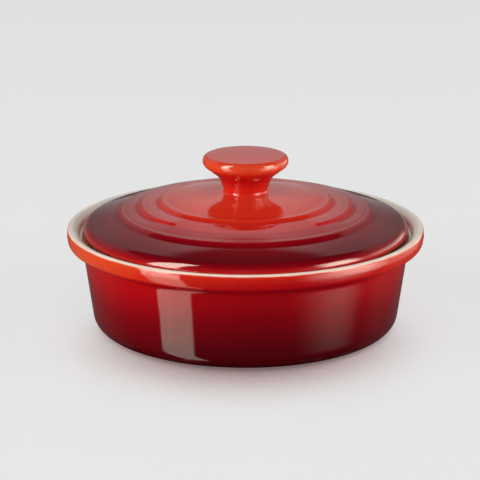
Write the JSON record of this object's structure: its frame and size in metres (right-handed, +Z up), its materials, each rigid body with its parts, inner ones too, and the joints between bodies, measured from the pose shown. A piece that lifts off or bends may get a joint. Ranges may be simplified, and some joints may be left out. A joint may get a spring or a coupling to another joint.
{
  "type": "camembert baker",
  "caption": "Round glazed stoneware baker for a small soft cheese: a shallow dish with a rim band and a cream glazed inside, and an inset domed lid with raised rings and a knob.",
  "frame": {"origin": "centre of the foot, on the surface that the baker stands on", "axes": "+Z up along the axis of the dish, lid and knob; -Y is the front, where the middle ring of the lid is open"},
  "size_m": [0.16, 0.16, 0.0786],
  "materials": {
    "dish_glaze": "glossy red glaze outside, bright at the rim and dark at the foot, cream glaze inside, bare stoneware under the foot",
    "lid_glaze": "glossy red glaze outside, orange red in the middle and burgundy near the edge, cream glaze underneath",
    "knob_glaze": "glossy orange red glaze"
  },
  "bodies": {
    "dish": {"dish": "dish_glaze"},
    "lid": {"lid": "lid_glaze", "knob": "knob_glaze"}
  },
  "joints": [
    {"name": "lid_lift", "type": "slide", "parent": "dish", "child": "lid", "axis": [0, 0, 1], "range_m": [0, 0.1]}
  ]
}
